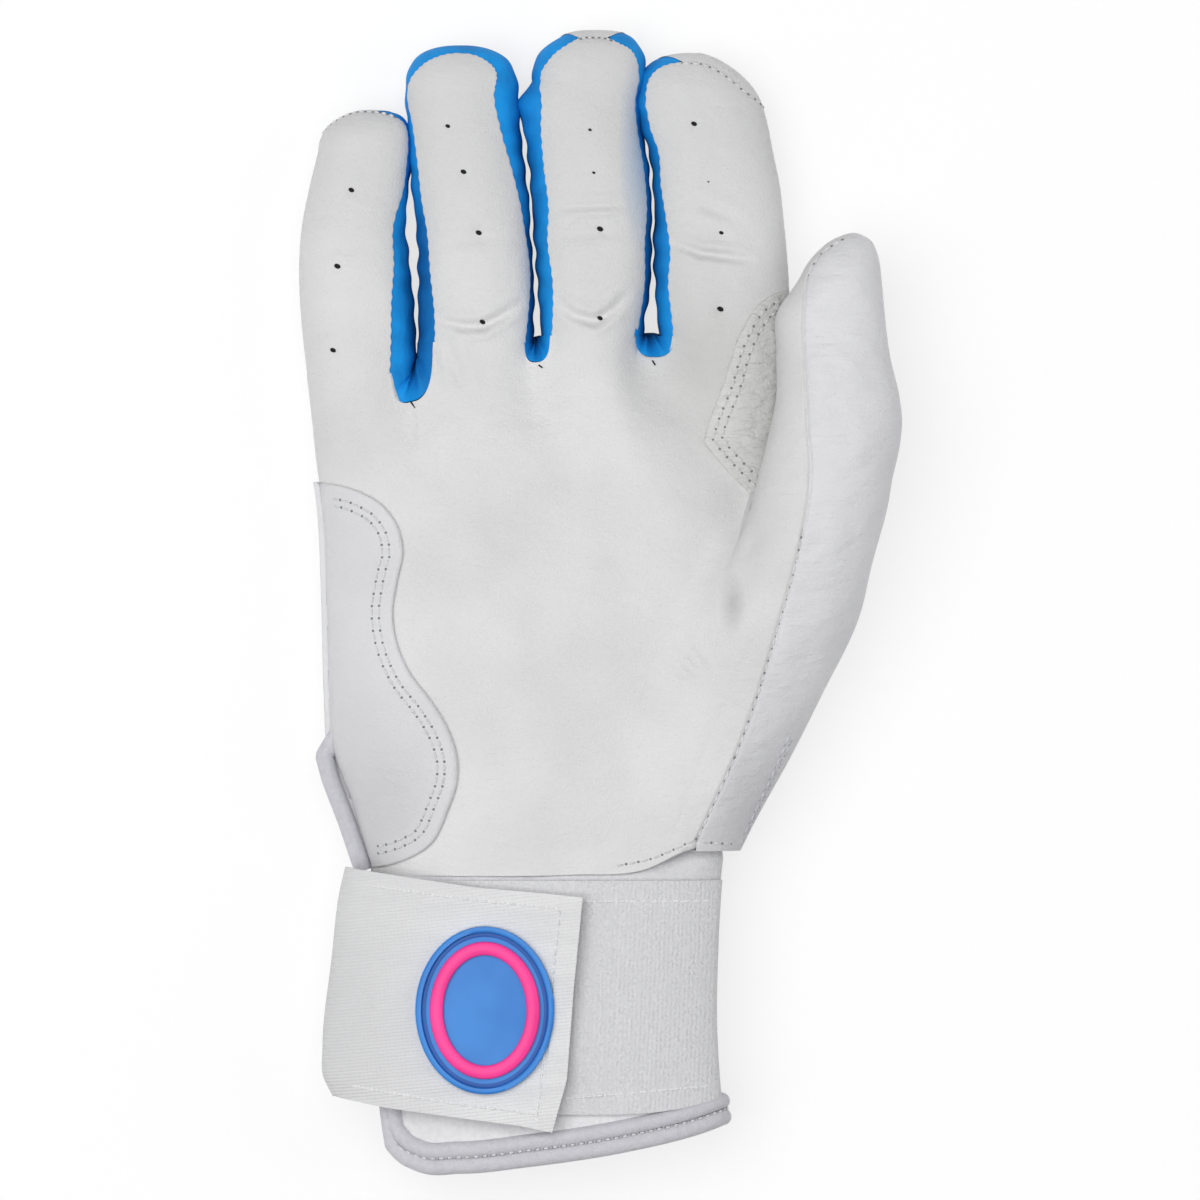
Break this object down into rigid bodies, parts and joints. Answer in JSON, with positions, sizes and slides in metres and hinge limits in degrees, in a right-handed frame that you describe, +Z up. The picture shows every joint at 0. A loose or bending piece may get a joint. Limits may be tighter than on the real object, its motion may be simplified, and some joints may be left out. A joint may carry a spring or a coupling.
{
  "type": "batting glove",
  "caption": "Right-hand leather batting glove with perforated fingers, blue finger gussets, sewn palm overlays and a long cuff closed by a hook-and-loop elastic strap.",
  "frame": {"origin": "bottom centre of the glove's box, on the surface that its back lies on", "axes": "+Y towards the fingertips, +X towards the thumb, +Z up out of the palm; the glove lies on its back"},
  "size_m": [0.1248, 0.2393, 0.0374],
  "materials": {
    "palm_leather": "soft matte sheepskin",
    "back_leather": "soft matte sheepskin",
    "overlay_leather": "grained matte",
    "gusset_blue": "coated stretch fabric",
    "cuff_fabric": "knit",
    "loop_tape": "brushed loop",
    "strap_elastic": "woven elastic",
    "hook_tape": "moulded hooks",
    "piping": "bound edge",
    "emblem_blue": "satin moulded",
    "emblem_pink": "satin moulded"
  },
  "bodies": {
    "hand": {"palm_panel": "palm_leather", "back_panel": "back_leather", "palm_heel_overlay": "overlay_leather", "thumb_web_overlay": "overlay_leather", "thumb_base_panel": "palm_leather", "cuff_tube": "cuff_fabric", "cuff_loop_panel": "loop_tape", "cuff_hem_piping": "piping", "slit_piping": "piping", "strap_sewn_end": "strap_elastic", "gusset_fold_little_ring": "gusset_blue", "gusset_fold_ring_middle": "gusset_blue", "gusset_fold_middle_index": "gusset_blue"},
    "little_finger": {"little_finger_front": "palm_leather", "little_finger_back": "back_leather", "little_gusset_right": "gusset_blue"},
    "ring_finger": {"ring_finger_front": "palm_leather", "ring_finger_back": "back_leather", "ring_gusset_left": "gusset_blue", "ring_gusset_right": "gusset_blue"},
    "middle_finger": {"middle_finger_front": "palm_leather", "middle_finger_back": "back_leather", "middle_gusset_left": "gusset_blue", "middle_gusset_right": "gusset_blue"},
    "index_finger": {"index_finger_front": "palm_leather", "index_finger_back": "back_leather", "index_gusset_left": "gusset_blue", "index_web_overlay": "overlay_leather"},
    "thumb": {"thumb_outer_panel": "palm_leather", "thumb_inner_panel": "palm_leather"},
    "strap": {"strap_tab": "strap_elastic", "hook_patch": "hook_tape", "emblem_base": "emblem_blue", "emblem_ring": "emblem_pink"}
  },
  "joints": [
    {"name": "little_finger_flex", "type": "hinge", "parent": "hand", "child": "little_finger", "pos_m": [-0.0516, 0.0475, 0.021], "axis": [0.9998, -0.0209, 0], "range_deg": [0, 90]},
    {"name": "ring_finger_flex", "type": "hinge", "parent": "hand", "child": "ring_finger", "pos_m": [-0.0266, 0.054, 0.0218], "axis": [0.998, 0.0628, 0], "range_deg": [0, 90]},
    {"name": "middle_finger_flex", "type": "hinge", "parent": "hand", "child": "middle_finger", "pos_m": [-0.0016, 0.0555, 0.0218], "axis": [1, 0.0035, 0], "range_deg": [0, 90]},
    {"name": "index_finger_flex", "type": "hinge", "parent": "hand", "child": "index_finger", "pos_m": [0.0256, 0.0555, 0.0232], "axis": [0.9971, 0.0767, 0], "range_deg": [0, 90]},
    {"name": "thumb_flex", "type": "hinge", "parent": "hand", "child": "thumb", "pos_m": [0.0464, 0.022, 0.038], "axis": [1, 0, 0], "range_deg": [0, 55]},
    {"name": "strap_peel", "type": "hinge", "parent": "hand", "child": "strap", "pos_m": [-0.0536, -0.08, 0.01675], "axis": [-0.0863, -0.9963, 0], "range_deg": [0, 150]}
  ]
}
